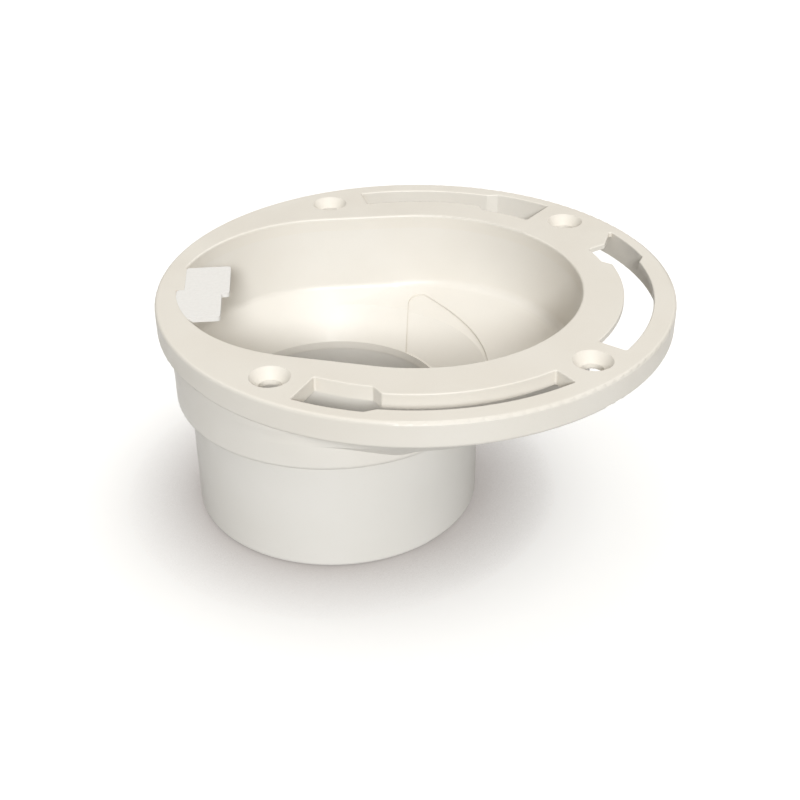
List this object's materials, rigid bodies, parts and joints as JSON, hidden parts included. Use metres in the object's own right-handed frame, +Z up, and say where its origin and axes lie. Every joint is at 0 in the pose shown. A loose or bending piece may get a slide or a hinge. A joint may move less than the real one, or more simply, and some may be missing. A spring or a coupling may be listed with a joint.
{
  "type": "offset closet flange",
  "caption": "White PVC offset toilet flange: a slotted, countersunk closet ring over an off-centre drain bowl and a spigot that doubles as a pipe socket.",
  "frame": {"origin": "on the closet ring's axis, in the plane of the spigot's open end", "axes": "+Z up along the ring's axis, from the drain pipe towards the toilet; the drain is offset from the ring's axis towards -X"},
  "size_m": [0.1746, 0.1746, 0.0832],
  "materials": {
    "pvc_ring": "satin",
    "pvc_bowl": "satin",
    "pvc_spigot": "satin",
    "tab_white": "matte"
  },
  "bodies": {
    "root": {"closet_ring": "pvc_ring", "offset_bowl": "pvc_bowl", "spigot": "pvc_spigot", "mouth_tab_back": "tab_white", "mouth_tab_front": "tab_white"}
  },
  "joints": []
}
